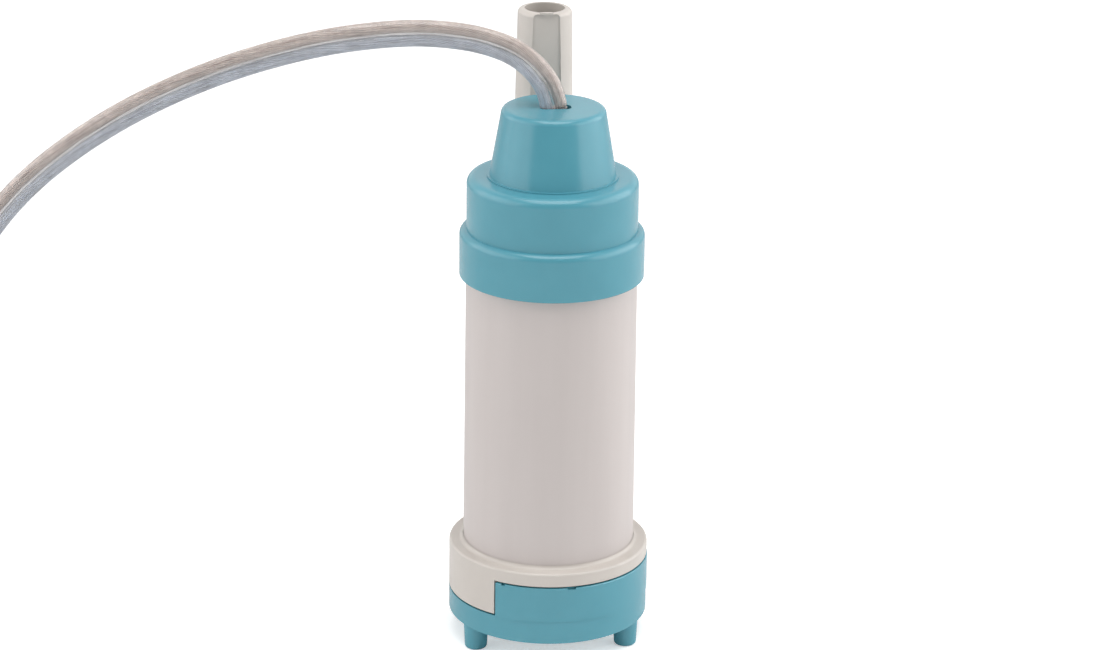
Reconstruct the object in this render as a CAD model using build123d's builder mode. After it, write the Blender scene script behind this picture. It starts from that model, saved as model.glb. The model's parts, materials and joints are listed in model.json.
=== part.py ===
from build123d import *
from math import atan, cos, degrees, pi, radians, sin, sqrt, tan
import os

os.makedirs("parts", exist_ok=True)

# A 12 volt submersible water pump for a caravan tank. Lengths are millimetres, angles are degrees.
# The pump stands on three legs. Its front looks along -Y, and its delivery pipe rises at the back.

# Fits that several pieces share
cut_over = 1.0
seat_gap = 0.05
bearing_gap = 0.03
brush_gap = 0.1
split_gap = 0.45
foot_slide_gap = 0.3
ring_gap = 0.1
spigot_gap = 0.15

# Strainer foot
leg_height = 6.2
leg_top_radius = 2.95
leg_tip_radius = 2.65
leg_tip_round = 0.8
leg_inset = 3.2
leg_count = 3
foot_radius = 24.0
foot_proud = 0.15
foot_wall = 1.6
foot_floor = 1.8
foot_edge_round = 0.25
intake_length = 9.0
intake_width = 2.2
intake_ring_radius = 12.5
intake_count = 12
intake_hole_radius = 1.1
intake_hole_ring_radius = 4.6
intake_hole_count = 6
notch_width = 2.0
notch_depth = 0.35
notch_small_share = 0.5

# Directions round the pump axis, counted from +X
front_angle = 270
pipe_angle = 90
step_front = 233
step_back = 65
screw_angle = 60
notch_angles = (239, 279)

# Inlet plate, gasket and screws
plenum_height = 2.0
plate_thickness = 1.8
plate_edge_gap = 0.5
eye_radius = 6.5
eye_round = 0.6
gasket_thickness = 0.5
gasket_width = 1.0
screw_radius = 1.1
screw_length = 8.0
screw_head_radius = 1.9
screw_head_height = 1.2
screw_recess_length = 2.2
screw_recess_width = 0.5
screw_inset = 2.7
screw_count = 3

# Pump head
chamber_height = 8.6
scroll_wall = 1.5
scroll_growth = 4.4
scroll_steps = 6
flange_thickness = 3.2
flange_round = 0.6
duct_floor = 1.8
shaft_hole_radius = 2.2
seal_floor = 1.6
spigot_height = 6.9
spigot_bore = 14.8
spigot_lead = 0.4
tube_bead = 0.9

# Impeller and its clip
impeller_side_gap = 1.2
impeller_gap = 0.8
impeller_disc = 1.4
vane_height = 4.6
vane_thickness = 1.2
vane_count = 5
vane_sweep = 62
vane_bow_share = 0.62
impeller_hub_radius = 3.4
clip_radius = 2.9
clip_thickness = 0.4
clip_notch = 0.7
shaft_stub = 0.8

# Shaft seal
seal_radius = 5.0
seal_web = 0.9
seal_rim = 1.0
seal_lip_radius = 2.35
seal_spring_radius = 0.35
retainer_radius = 6.5
retainer_bore = 2.4
retainer_thickness = 0.8

# Tube and its two seal rings
tube_radius = 20.2
tube_flare = 0.3
tube_wall = 1.6
tube_edge = 0.3
tube_seal_section = 1.24
tube_seal_groove_depth = 1.2
tube_seal_groove_width = 1.8
tube_seal_height = 3.4

# Motor
motor_radius = 17.9
can_wall = 1.2
can_length = 48.0
can_round = 1.5
front_boss_radius = 6.5
front_boss_height = 4.4
front_boss_floor = 1.2
front_bearing_radius = 4.9
fixing_hole_radius = 1.5
fixing_ring_radius = 12.5
bearing_length = 3.8
rear_bearing_radius = 3.9
shaft_radius = 1.5875
shaft_edge = 0.3
magnet_thickness = 2.3
magnet_span = 138
magnet_overhang = 4.0
air_gap = 0.5
core_height = 11.0
core_hub_radius = 6.0
pole_count = 5
pole_width = 3.2
pole_shoe_thickness = 1.5
pole_shoe_span = 58
coil_inner = 6.8
coil_outer = 11.8
coil_build = 1.65
coil_overhang = 2.2
commutator_radius = 4.8
commutator_length = 6.0
commutator_gap = 1.0
commutator_top_gap = 0.3
commutator_slit = 0.5
commutator_slit_depth = 0.8
washer_radius = 3.0
washer_thickness = 0.6
bell_plug = 1.5
bell_thickness = 3.0
rear_boss_radius = 5.6
rear_boss_height = 3.0
rear_boss_cap = 0.8
bell_hole_radius = 3.4
terminal_reach = 9.6
terminal_width = 2.8
terminal_thickness = 0.5
terminal_top = 7.5
terminal_drop = 2.0
arm_thickness = 0.3
arm_drop = 5.6
brush_width = 3.0
brush_height = 4.0
brush_edge = 0.3

# Rubber rings that hold the motor in the tube
motor_ring_bore = 14.0
front_ring_thickness = 2.0
rear_ring_thickness = 2.2
ring_skirt = 4.0

# Top cap
cap_spigot_length = 13.8
tube_insert = 9.0
cap_bore = 15.9
cap_roof = 2.0
cap_wall = 2.1
collar_radius = 21.8
collar_height = 11.4
collar_round = 1.6
collar_edge = 0.3
shoulder_radius = 20.15
shoulder_height = 12.8
shoulder_round = 2.0
cone_base_radius = 14.85
cone_top_radius = 12.05
cone_height = 16.5
cone_round = 1.4
cone_lip = 0.6
cone_lip_height = 0.35
slot_left_gap = 0.1
slot_right_gap = 0.9
slot_side_gap = 0.25
exit_slot_round = 1.3

# Delivery pipe and hose tail
pipe_radius = 6.9
pipe_bore = 5.2
pipe_gap = 0.8
pipe_seal_section = 1.6
saddle_gap = 0.25
tail_length = 24.1
tail_tip_radius = 6.45
tail_bore = 4.8
tail_bore_length = 38.0
tail_bore_blend = 2.0
tail_round = 1.1
tail_bore_round = 0.35
rim_above_cone = 16.4
flat_reach = 5.3
flat_top_width = 6.3
flat_foot_width = 7.9
flat_length = 28.4
flat_round = 1.0
flat_below_rim = 0.2
rim_nub_width = 3.4
rim_nub_height = 0.25
rim_nub_depth = 0.9
boss_wall = 2.0
boss_height = 23.7
socket_height = 9.6

# Cable, its seal and the leads inside the cap
cable_width = 6.3
cable_thickness = 3.1
cable_inside = 21.7
cable_lead = 1.0
cable_plug_height = 12.6
cable_plug_gap = 0.1
lead_radius = 0.9
lead_drop = 5.0
suppressor_radius = 3.6
suppressor_thickness = 2.4
suppressor_leg_radius = 0.3
suppressor_lift = 2.2

# Coil of spare cable and its bare end
coil_centre_x = -182.0
coil_centre_y = 0.0
coil_outer_radius = 38.5
coil_pitch = 6.8
coil_layer = 6.8
coil_lift = 0.1
coil_turns = 3.25
coil_reverse_turn = 1.75
coil_start_angle = 90
leg_wire_radius = 1.5
bare_wire_radius = 0.9
bare_wire_length = 6.0
leg_fillet = 5.0
turn_step = 0.01
points_an_arc = 16

# Free cable, measured from the exit: over the arch that the photo shows, then down behind the coil
arch_points = [
    (0.0, 0.0, 0.0),
    (-0.7, 0.0, 3.4),
    (-2.7, 0.1, 7.3),
    (-6.6, 0.3, 11.5),
    (-12.3, 0.7, 14.7),
    (-21.9, 1.3, 17.1),
    (-35.9, 2.3, 17.7),
    (-57.1, 4.0, 14.5),
    (-81.5, 6.2, 6.5),
    (-104.2, 8.4, -5.3),
    (-124.0, 11.0, -21.0),
    (-137.0, 16.0, -39.5),
    (-142.5, 23.0, -60.5),
    (-143.0, 31.0, -82.0),
]

# The same cable near the floor, measured from the origin
floor_points = [
    (-143.0, 32.5, 32.0),
    (-145.0, 36.5, 18.5),
    (-151.5, 38.5, 8.5),
    (-162.5, 38.5, 3.25),
]

# The two cores of the slit end, measured from the end of the coil
upper_offsets = [(0.0, 0.0, 1.6), (0.0, -5.0, 1.6), (-2.0, -14.0, -0.5), (-5.0, -24.5, -5.0)]
lower_offsets = [(0.0, 0.0, -1.6), (0.0, -5.0, -1.6), (-0.8, -15.0, -4.8), (-1.8, -25.0, -7.5)]

# Heights, stacked from the floor up
foot_z = leg_height
plenum_z = foot_z + foot_floor
plate_z = plenum_z + plenum_height
gasket_z = plate_z + plate_thickness
head_z = gasket_z + gasket_thickness
flange_z = head_z + chamber_height
deck_z = flange_z + flange_thickness
spigot_z = deck_z + spigot_height
motor_z = spigot_z + front_ring_thickness
bell_z = motor_z + can_length
bell_top_z = bell_z + bell_thickness
cap_spigot_z = bell_top_z + rear_ring_thickness
tube_top_z = cap_spigot_z + cap_spigot_length
collar_z = tube_top_z - tube_insert
shoulder_z = collar_z + collar_height
cone_z = shoulder_z + shoulder_height
exit_z = cone_z + cone_height
rim_z = exit_z + rim_above_cone
impeller_z = gasket_z + impeller_gap
disc_z = impeller_z + vane_height
roof_z = disc_z + impeller_disc + impeller_gap
seal_z = roof_z + seal_floor

# The origin is at the floor, under the middle of the pump without its cable.
pipe_reach = tube_radius + pipe_gap + pipe_radius
boss_radius = pipe_radius + boss_wall
axis_y = -(pipe_reach + boss_radius - foot_radius) / 2
pipe_y = axis_y + pipe_reach

pump_axis = Axis((0, axis_y, 0), (0, 0, 1))
pipe_axis = Axis((0, pipe_y, 0), (0, 0, 1))
pump_section = Plane((0, axis_y, 0), x_dir=(1, 0, 0), z_dir=(0, -1, 0))
pipe_section = Plane((0, pipe_y, 0), x_dir=(1, 0, 0), z_dir=(0, -1, 0))


def level(height):
    return Plane((0, axis_y, height))


def polar(radius, angle):
    return (radius * cos(radians(angle)), radius * sin(radians(angle)))


# Teal foot: a slotted cup on three legs, with one raised part of its wall
foot_ring_radius = foot_radius - foot_proud
foot_bore = foot_radius - foot_wall
screw_ring_radius = foot_bore - screw_inset
ring_top_z = head_z - split_gap
wall_top_z = flange_z - split_gap
step_gap_angle = degrees(split_gap / foot_radius)
raised_start = step_front + step_gap_angle
raised_span = 360 - (step_front - step_back) - 2 * step_gap_angle
leg_draft = degrees(atan((leg_top_radius - leg_tip_radius) / leg_height))

with BuildPart() as strainer_foot:
    with BuildSketch(level(foot_z)):
        Circle(foot_ring_radius)
    extrude(amount=ring_top_z - foot_z)
    with BuildSketch(level(ring_top_z)):
        with BuildLine():
            wall_arc = CenterArc((0, 0), foot_radius, raised_start, raised_span)
            Polyline(wall_arc @ 1, (0, 0), wall_arc @ 0)
        make_face()
    extrude(amount=wall_top_z - ring_top_z)
    with BuildSketch(level(plenum_z)):
        Circle(foot_bore)
    extrude(amount=flange_z - plenum_z, mode=Mode.SUBTRACT)
    fillet(strainer_foot.edges().filter_by(GeomType.CIRCLE).group_by(Axis.Z)[-1], foot_edge_round)
    fillet(strainer_foot.edges().filter_by(GeomType.CIRCLE).group_by(Axis.Z)[0], foot_edge_round)
    with BuildSketch(level(0)):
        with PolarLocations(foot_radius - leg_inset, leg_count, start_angle=pipe_angle):
            Circle(leg_tip_radius)
    extrude(amount=leg_height + foot_floor / 2, taper=-leg_draft)
    fillet(strainer_foot.edges().group_by(Axis.Z)[0], leg_tip_round)
    with BuildSketch(level(foot_z - cut_over)):
        with PolarLocations(intake_ring_radius, intake_count):
            SlotOverall(intake_length, intake_width)
        with PolarLocations(intake_hole_ring_radius, intake_hole_count):
            Circle(intake_hole_radius)
    extrude(amount=foot_floor + 2 * cut_over, mode=Mode.SUBTRACT)
    with BuildSketch(level(wall_top_z - notch_depth)):
        with PolarLocations(foot_radius, 1, start_angle=notch_angles[0]):
            Rectangle(foot_wall, notch_width * notch_small_share)
        with PolarLocations(foot_radius, 1, start_angle=notch_angles[1]):
            Rectangle(foot_wall, notch_width)
    extrude(amount=notch_depth + cut_over, mode=Mode.SUBTRACT)
strainer_foot.part.label = "strainer_foot"
export_step(strainer_foot.part, "parts/strainer_foot.step")

# Inlet plate: the floor of the pump chamber, with the eye that the water enters by
plate_radius = foot_bore - plate_edge_gap
screw_hole_radius = screw_radius + ring_gap

with BuildPart() as inlet_plate:
    with BuildSketch(level(plate_z)):
        Circle(plate_radius)
        Circle(eye_radius, mode=Mode.SUBTRACT)
        with PolarLocations(screw_ring_radius, screw_count, start_angle=screw_angle):
            Circle(screw_hole_radius, mode=Mode.SUBTRACT)
    extrude(amount=plate_thickness)
    lower_edges = inlet_plate.edges().filter_by(GeomType.CIRCLE).group_by(Axis.Z)[0]
    fillet(lower_edges.filter_by(lambda e: abs(e.radius - eye_radius) < seat_gap), eye_round)
inlet_plate.part.label = "inlet_plate"
export_step(inlet_plate.part, "parts/inlet_plate.step")

with BuildPart() as plate_gasket:
    with BuildSketch(level(gasket_z)):
        Circle(plate_radius)
        Circle(plate_radius - gasket_width, mode=Mode.SUBTRACT)
    extrude(amount=gasket_thickness)
plate_gasket.part.label = "plate_gasket"
export_step(plate_gasket.part, "parts/plate_gasket.step")

with BuildPart() as plate_screws:
    with BuildSketch(level(plate_z - screw_head_height)):
        with PolarLocations(screw_ring_radius, screw_count, start_angle=screw_angle):
            Circle(screw_head_radius)
    extrude(amount=screw_head_height)
    with BuildSketch(level(plate_z)):
        with PolarLocations(screw_ring_radius, screw_count, start_angle=screw_angle):
            Circle(screw_radius)
    extrude(amount=screw_length)
    with BuildSketch(level(plate_z - screw_head_height)):
        with PolarLocations(screw_ring_radius, screw_count, start_angle=screw_angle):
            Rectangle(screw_recess_length, screw_recess_width)
            Rectangle(screw_recess_width, screw_recess_length)
    extrude(amount=screw_head_height / 2, mode=Mode.SUBTRACT)
plate_screws.part.label = "plate_screws"
export_step(plate_screws.part, "parts/plate_screws.step")

# Pump head: chamber and scroll below, deck and spigot above, pipe socket at the back
head_radius = foot_ring_radius
head_body_radius = foot_bore - foot_slide_gap
scroll_radius = head_body_radius - scroll_wall
chamber_radius = scroll_radius - scroll_growth
impeller_radius = chamber_radius - impeller_side_gap
spigot_radius = tube_radius - tube_wall - spigot_gap
tube_bore = tube_radius - tube_wall
tube_foot_radius = tube_radius + tube_flare
socket_z = head_z + socket_height
duct_z = head_z + duct_floor
pilot_depth = screw_length - plate_thickness - gasket_thickness + ring_gap
seal_groove_z = deck_z + tube_seal_height
bead_bore = tube_foot_radius + ring_gap
bead_top_z = deck_z + tube_bead
scroll_turn = step_front - pipe_angle
scroll_radii = [chamber_radius + scroll_growth * k / scroll_steps for k in range(scroll_steps + 1)]
scroll_points = [polar(r, step_front - scroll_turn * k / scroll_steps) for k, r in enumerate(scroll_radii)]

with BuildPart() as pump_head:
    with BuildSketch(level(head_z)):
        Circle(head_body_radius)
    extrude(amount=chamber_height)
    with BuildSketch(level(head_z)):
        with BuildLine():
            low_arc = CenterArc((0, 0), head_radius, step_back, step_front - step_back)
            Polyline(low_arc @ 1, (0, 0), low_arc @ 0)
        make_face()
    extrude(amount=chamber_height)
    with BuildSketch(level(flange_z)):
        Circle(head_radius)
    extrude(amount=flange_thickness)
    fillet(pump_head.edges().group_by(Axis.Z)[-1], flange_round)
    with BuildSketch(level(head_z)):
        with Locations((0, pipe_reach)):
            Circle(boss_radius)
        with Locations((0, pipe_reach / 2)):
            Rectangle(2 * boss_radius, pipe_reach)
    extrude(amount=deck_z - flange_round - head_z)
    with BuildSketch(level(head_z)):
        with Locations((0, pipe_reach)):
            Circle(boss_radius)
    extrude(amount=boss_height)
    with BuildSketch(level(deck_z)):
        Circle(bead_bore)
    extrude(amount=boss_height, mode=Mode.SUBTRACT)
    with BuildSketch(pump_section):
        with BuildLine():
            bead_arc = TangentArc((bead_bore, bead_top_z), (bead_bore + tube_bead, deck_z), tangent=(0, -1))
            Polyline(bead_arc @ 1, (bead_bore, deck_z), bead_arc @ 0)
        make_face()
    revolve(axis=pump_axis)
    with BuildSketch(level(deck_z)):
        Circle(spigot_radius)
    extrude(amount=spigot_height)
    spigot_edges = pump_head.edges().filter_by(GeomType.CIRCLE)
    chamfer(spigot_edges.filter_by(lambda e: abs(e.arc_center.Z - spigot_z) < seat_gap), spigot_lead)
    with BuildSketch(level(deck_z)):
        Circle(spigot_bore)
    extrude(amount=spigot_height, mode=Mode.SUBTRACT)
    with BuildSketch(level(seal_groove_z)):
        Circle(spigot_radius + cut_over)
        Circle(spigot_radius - tube_seal_groove_depth, mode=Mode.SUBTRACT)
    extrude(amount=tube_seal_groove_width, mode=Mode.SUBTRACT)
    with BuildSketch(level(head_z)):
        Circle(chamber_radius)
        with BuildLine():
            scroll = Spline(*scroll_points)
            Polyline(scroll @ 1, (0, 0), scroll @ 0)
        make_face()
    extrude(amount=roof_z - head_z, mode=Mode.SUBTRACT)
    with BuildSketch(level(duct_z)):
        with Locations((0, (chamber_radius / 2 + pipe_reach) / 2)):
            Rectangle(2 * pipe_bore, pipe_reach - chamber_radius / 2)
    extrude(amount=roof_z - duct_z, mode=Mode.SUBTRACT)
    with BuildSketch(level(duct_z)):
        with Locations((0, pipe_reach)):
            Circle(pipe_bore)
    extrude(amount=boss_height, mode=Mode.SUBTRACT)
    with BuildSketch(level(socket_z)):
        with Locations((0, pipe_reach)):
            Circle(pipe_radius + seat_gap)
    extrude(amount=boss_height, mode=Mode.SUBTRACT)
    with BuildSketch(level(roof_z - cut_over)):
        Circle(shaft_hole_radius)
    extrude(amount=seal_floor + 2 * cut_over, mode=Mode.SUBTRACT)
    with BuildSketch(level(seal_z)):
        Circle(seal_radius)
    extrude(amount=deck_z - seal_z, mode=Mode.SUBTRACT)
    with BuildSketch(level(head_z)):
        with PolarLocations(screw_ring_radius, screw_count, start_angle=screw_angle):
            Circle(screw_radius + seat_gap)
    extrude(amount=pilot_depth, mode=Mode.SUBTRACT)
pump_head.part.label = "pump_head"
export_step(pump_head.part, "parts/pump_head.step")

# Motor tube
with BuildPart() as motor_tube:
    with BuildSketch(pump_section):
        with BuildLine():
            Polyline(
                (tube_bore, deck_z),
                (tube_foot_radius, deck_z),
                (tube_radius, collar_z),
                (tube_radius, tube_top_z),
                (tube_bore, tube_top_z),
                close=True,
            )
        make_face()
    revolve(axis=pump_axis)
    tube_edges = motor_tube.edges().filter_by(GeomType.CIRCLE)
    chamfer(tube_edges.filter_by(lambda e: abs(e.radius - tube_bore) < seat_gap), tube_edge)
motor_tube.part.label = "motor_tube"
export_step(motor_tube.part, "parts/motor_tube.step")

# Seal rings between the tube and its two spigots
tube_seal_radius = (spigot_radius - tube_seal_groove_depth + tube_bore) / 2
cap_groove_z = tube_top_z - tube_seal_height - tube_seal_groove_width

with BuildPart() as lower_tube_seal:
    with BuildSketch(pump_section):
        with Locations((tube_seal_radius, seal_groove_z + tube_seal_groove_width / 2)):
            Circle(tube_seal_section / 2)
    revolve(axis=pump_axis)
lower_tube_seal.part.label = "lower_tube_seal"
export_step(lower_tube_seal.part, "parts/lower_tube_seal.step")

with BuildPart() as upper_tube_seal:
    with BuildSketch(pump_section):
        with Locations((tube_seal_radius, cap_groove_z + tube_seal_groove_width / 2)):
            Circle(tube_seal_section / 2)
    revolve(axis=pump_axis)
upper_tube_seal.part.label = "upper_tube_seal"
export_step(upper_tube_seal.part, "parts/upper_tube_seal.step")

# Top cap: collar over the tube, shoulder, and the cone that the cable leaves by
cone_draft_share = (cone_base_radius - cone_top_radius) / cone_height
cone_roof_z = exit_z - cap_roof
exit_slot_length = cable_width + slot_left_gap + slot_right_gap
exit_slot_width = cable_thickness + 2 * slot_side_gap
exit_slot_shift = (slot_right_gap - slot_left_gap) / 2
cap_roof_z = cone_z - cap_roof
cone_bore_top = cone_top_radius - cap_wall
cone_bore_base = cone_bore_top + (cone_roof_z - cap_roof_z) * cone_draft_share
collar_bore = tube_radius + ring_gap

with BuildPart() as top_cap:
    with BuildSketch(pump_section):
        with BuildLine():
            Polyline(
                (0, collar_z),
                (collar_radius, collar_z),
                (collar_radius, shoulder_z),
                (shoulder_radius, shoulder_z),
                (shoulder_radius, cone_z),
                (cone_base_radius + cone_lip, cone_z),
                (cone_base_radius + cone_lip, cone_z + cone_lip_height),
                (cone_base_radius, cone_z + cone_lip_height),
                (cone_top_radius, exit_z),
                (0, exit_z),
                close=True,
            )
        make_face()
    revolve(axis=pump_axis)
    cap_rims = top_cap.edges().filter_by(GeomType.CIRCLE)
    cone_rim = cap_rims.group_by(Axis.Z)[-1]
    shoulder_rims = cap_rims.filter_by(lambda e: abs(e.radius - shoulder_radius) < seat_gap).group_by(Axis.Z)
    collar_rims = cap_rims.filter_by(lambda e: abs(e.radius - collar_radius) < seat_gap).group_by(Axis.Z)
    fillet(cone_rim, cone_round)
    fillet(shoulder_rims[-1], shoulder_round)
    fillet(collar_rims[-1], collar_round)
    fillet(collar_rims[0], collar_edge)
    with BuildSketch(level(collar_z)):
        Circle(collar_bore)
    extrude(amount=tube_top_z - collar_z, mode=Mode.SUBTRACT)
    with BuildSketch(level(cap_spigot_z)):
        Circle(spigot_radius)
    extrude(amount=tube_top_z - cap_spigot_z)
    with BuildSketch(level(cap_groove_z)):
        Circle(spigot_radius + cut_over)
        Circle(spigot_radius - tube_seal_groove_depth, mode=Mode.SUBTRACT)
    extrude(amount=tube_seal_groove_width, mode=Mode.SUBTRACT)
    with BuildSketch(pump_section):
        with BuildLine():
            Polyline(
                (0, cap_spigot_z),
                (cap_bore, cap_spigot_z),
                (cap_bore, cap_roof_z),
                (cone_bore_base, cap_roof_z),
                (cone_bore_top, cone_roof_z),
                (0, cone_roof_z),
                close=True,
            )
        make_face()
    revolve(axis=pump_axis, mode=Mode.SUBTRACT)
    with BuildSketch(level(cone_roof_z - cut_over)):
        with Locations((exit_slot_shift, 0)):
            RectangleRounded(exit_slot_length, exit_slot_width, exit_slot_round)
    extrude(amount=cap_roof + 2 * cut_over, mode=Mode.SUBTRACT)
    with BuildSketch(level(collar_z)):
        with Locations((0, pipe_reach)):
            Circle(pipe_radius + saddle_gap)
    extrude(amount=cone_z - collar_z, mode=Mode.SUBTRACT)
top_cap.part.label = "top_cap"
export_step(top_cap.part, "parts/top_cap.step")

# Delivery pipe: rises from the head's socket and ends in the hose tail
pipe_z = socket_z + pipe_seal_section + 2 * seat_gap
tail_z = rim_z - tail_length
flat_top_z = rim_z - flat_below_rim
nub_reach = tail_bore + tail_bore_round + rim_nub_depth / 2

with BuildPart() as delivery_pipe:
    with BuildSketch(pipe_section) as pipe_profile:
        with BuildLine():
            Polyline(
                (pipe_bore, pipe_z),
                (pipe_radius, pipe_z),
                (pipe_radius, tail_z),
                (tail_tip_radius, rim_z),
                (tail_bore, rim_z),
                (tail_bore, rim_z - tail_bore_length),
                (pipe_bore, rim_z - tail_bore_length - tail_bore_blend),
                close=True,
            )
        make_face()
        rim_corners = pipe_profile.vertices().group_by(Axis.Y)[-1].sort_by(Axis.X)
        fillet(rim_corners[-1], tail_round)
        fillet(rim_corners[0], tail_bore_round)
    revolve(axis=pipe_axis)
    for side in (-1, 1):
        with BuildSketch(Plane.XZ.offset(side * flat_reach - pipe_y)) as flat_outline:
            with BuildLine():
                Polyline(
                    (-flat_foot_width / 2, flat_top_z - flat_length),
                    (-flat_top_width / 2, flat_top_z),
                    (flat_top_width / 2, flat_top_z),
                    (flat_foot_width / 2, flat_top_z - flat_length),
                    close=True,
                )
            make_face()
            fillet(flat_outline.vertices().group_by(Axis.Y)[-1], flat_round)
        extrude(amount=side * pipe_radius, mode=Mode.SUBTRACT)
    with BuildSketch(Plane.XY.offset(rim_z - rim_nub_height)):
        with Locations((0, pipe_y - nub_reach)):
            Ellipse(rim_nub_width / 2, rim_nub_depth / 2)
    extrude(amount=2 * rim_nub_height)
delivery_pipe.part.label = "delivery_pipe"
export_step(delivery_pipe.part, "parts/delivery_pipe.step")

with BuildPart() as pipe_seal:
    with BuildSketch(pipe_section):
        with Locations(((pipe_bore + pipe_radius) / 2, socket_z + pipe_seal_section / 2 + seat_gap)):
            Circle(pipe_seal_section / 2)
    revolve(axis=pipe_axis)
pipe_seal.part.label = "pipe_seal"
export_step(pipe_seal.part, "parts/pipe_seal.step")

# Shaft seal: rubber lip ring, its garter spring and the retainer above it
seal_lip_bore = shaft_radius + bearing_gap
seal_top_z = deck_z

with BuildPart() as shaft_seal:
    with BuildSketch(pump_section):
        with BuildLine():
            Polyline(
                (seal_lip_bore, seal_z + seal_rim / 2),
                (seal_lip_radius, seal_z + seal_rim / 2),
                (seal_lip_radius, seal_top_z - seal_web),
                (seal_radius - seal_rim, seal_top_z - seal_web),
                (seal_radius - seal_rim, seal_z),
                (seal_radius - seat_gap, seal_z),
                (seal_radius - seat_gap, seal_top_z),
                (seal_lip_bore, seal_top_z),
                close=True,
            )
        make_face()
    revolve(axis=pump_axis)
shaft_seal.part.label = "shaft_seal"
export_step(shaft_seal.part, "parts/shaft_seal.step")

with BuildPart() as seal_spring:
    with BuildSketch(pump_section):
        with Locations((seal_lip_radius + seal_spring_radius + seat_gap, seal_z + seal_rim)):
            Circle(seal_spring_radius)
    revolve(axis=pump_axis)
seal_spring.part.label = "seal_spring"
export_step(seal_spring.part, "parts/seal_spring.step")

with BuildPart() as seal_retainer:
    with BuildSketch(level(deck_z)):
        Circle(retainer_radius)
        Circle(retainer_bore, mode=Mode.SUBTRACT)
    extrude(amount=retainer_thickness)
seal_retainer.part.label = "seal_retainer"
export_step(seal_retainer.part, "parts/seal_retainer.step")

# Impeller: five swept vanes under a disc, held on the shaft by a spring clip
vane_inner = impeller_hub_radius - seat_gap
vane_outer = impeller_radius - vane_thickness / 2
vane_middle = polar(vane_outer * vane_bow_share, vane_sweep * (1 - vane_bow_share))

with BuildPart() as impeller:
    with BuildSketch(level(disc_z)):
        Circle(impeller_radius)
    extrude(amount=impeller_disc)
    with BuildSketch(level(impeller_z)):
        Circle(impeller_hub_radius)
    extrude(amount=vane_height)
    with BuildSketch(level(impeller_z)):
        with PolarLocations(0, vane_count):
            with BuildLine():
                ThreePointArc((vane_inner, 0), vane_middle, polar(vane_outer, vane_sweep))
            trace(line_width=vane_thickness)
    extrude(amount=vane_height)
    with BuildSketch(level(impeller_z)):
        Circle(shaft_radius + bearing_gap)
    extrude(amount=disc_z + impeller_disc - impeller_z, mode=Mode.SUBTRACT)
impeller.part.label = "impeller"
export_step(impeller.part, "parts/impeller.step")

with BuildPart() as impeller_clip:
    with BuildSketch(level(impeller_z - clip_thickness)):
        Circle(clip_radius)
        Circle(shaft_radius + bearing_gap, mode=Mode.SUBTRACT)
        with PolarLocations(shaft_radius, vane_count):
            Rectangle(clip_notch, clip_notch, mode=Mode.SUBTRACT)
    extrude(amount=clip_thickness)
impeller_clip.part.label = "impeller_clip"
export_step(impeller_clip.part, "parts/impeller_clip.step")

# Motor shaft, from under the impeller to the rear bearing
shaft_tip_z = impeller_z - clip_thickness - shaft_stub
rear_boss_z = bell_top_z + rear_boss_height
shaft_top_z = rear_boss_z - rear_boss_cap - ring_gap

with BuildPart() as motor_shaft:
    with BuildSketch(level(shaft_tip_z)):
        Circle(shaft_radius)
    extrude(amount=shaft_top_z - shaft_tip_z)
    chamfer(motor_shaft.edges().filter_by(GeomType.CIRCLE), shaft_edge)
motor_shaft.part.label = "motor_shaft"
export_step(motor_shaft.part, "parts/motor_shaft.step")

# Motor can with the front bearing boss, which points down at the pump
can_bore = motor_radius - can_wall
boss_z = motor_z - front_boss_height
front_pocket_z = boss_z + front_boss_floor
front_bearing_z = front_pocket_z + seat_gap
front_bearing_bore = front_bearing_radius + seat_gap

with BuildPart() as motor_can:
    with BuildSketch(level(motor_z)):
        Circle(motor_radius)
    extrude(amount=can_length)
    fillet(motor_can.edges().group_by(Axis.Z)[0], can_round)
    with BuildSketch(level(boss_z)):
        Circle(front_boss_radius)
    extrude(amount=front_boss_height + can_wall / 2)
    with BuildSketch(level(motor_z + can_wall)):
        Circle(can_bore)
    extrude(amount=can_length, mode=Mode.SUBTRACT)
    with BuildSketch(level(front_pocket_z)):
        Circle(front_bearing_bore)
    extrude(amount=can_length, mode=Mode.SUBTRACT)
    with BuildSketch(level(boss_z)):
        Circle(shaft_hole_radius)
        with PolarLocations(fixing_ring_radius, 2):
            Circle(fixing_hole_radius)
    extrude(amount=can_length, mode=Mode.SUBTRACT)
motor_can.part.label = "motor_can"
export_step(motor_can.part, "parts/motor_can.step")

# Two arc magnets, glued to the can at its front and back
magnet_outer = can_bore - seat_gap
magnet_inner = magnet_outer - magnet_thickness
plug_z = bell_z - bell_plug
commutator_z = plug_z - commutator_top_gap - commutator_length
core_z = motor_z + core_height
core_length = commutator_z - commutator_gap - coil_overhang - core_z

with BuildPart() as motor_magnets:
    with BuildSketch(level(core_z - magnet_overhang)):
        for middle in (pipe_angle, front_angle):
            with BuildLine():
                magnet_arc = CenterArc((0, 0), magnet_outer, middle - magnet_span / 2, magnet_span)
                Polyline(magnet_arc @ 1, (0, 0), magnet_arc @ 0)
            make_face()
        Circle(magnet_inner, mode=Mode.SUBTRACT)
    extrude(amount=core_length + 2 * magnet_overhang)
motor_magnets.part.label = "motor_magnets"
export_step(motor_magnets.part, "parts/motor_magnets.step")

# Armature: laminated core with five poles, one winding on each, and the commutator
core_radius = magnet_inner - air_gap
shoe_inner = core_radius - pole_shoe_thickness
shoe_middle = core_radius - pole_shoe_thickness / 2
coil_width = pole_width + 2 * (coil_build + seat_gap)

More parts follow.
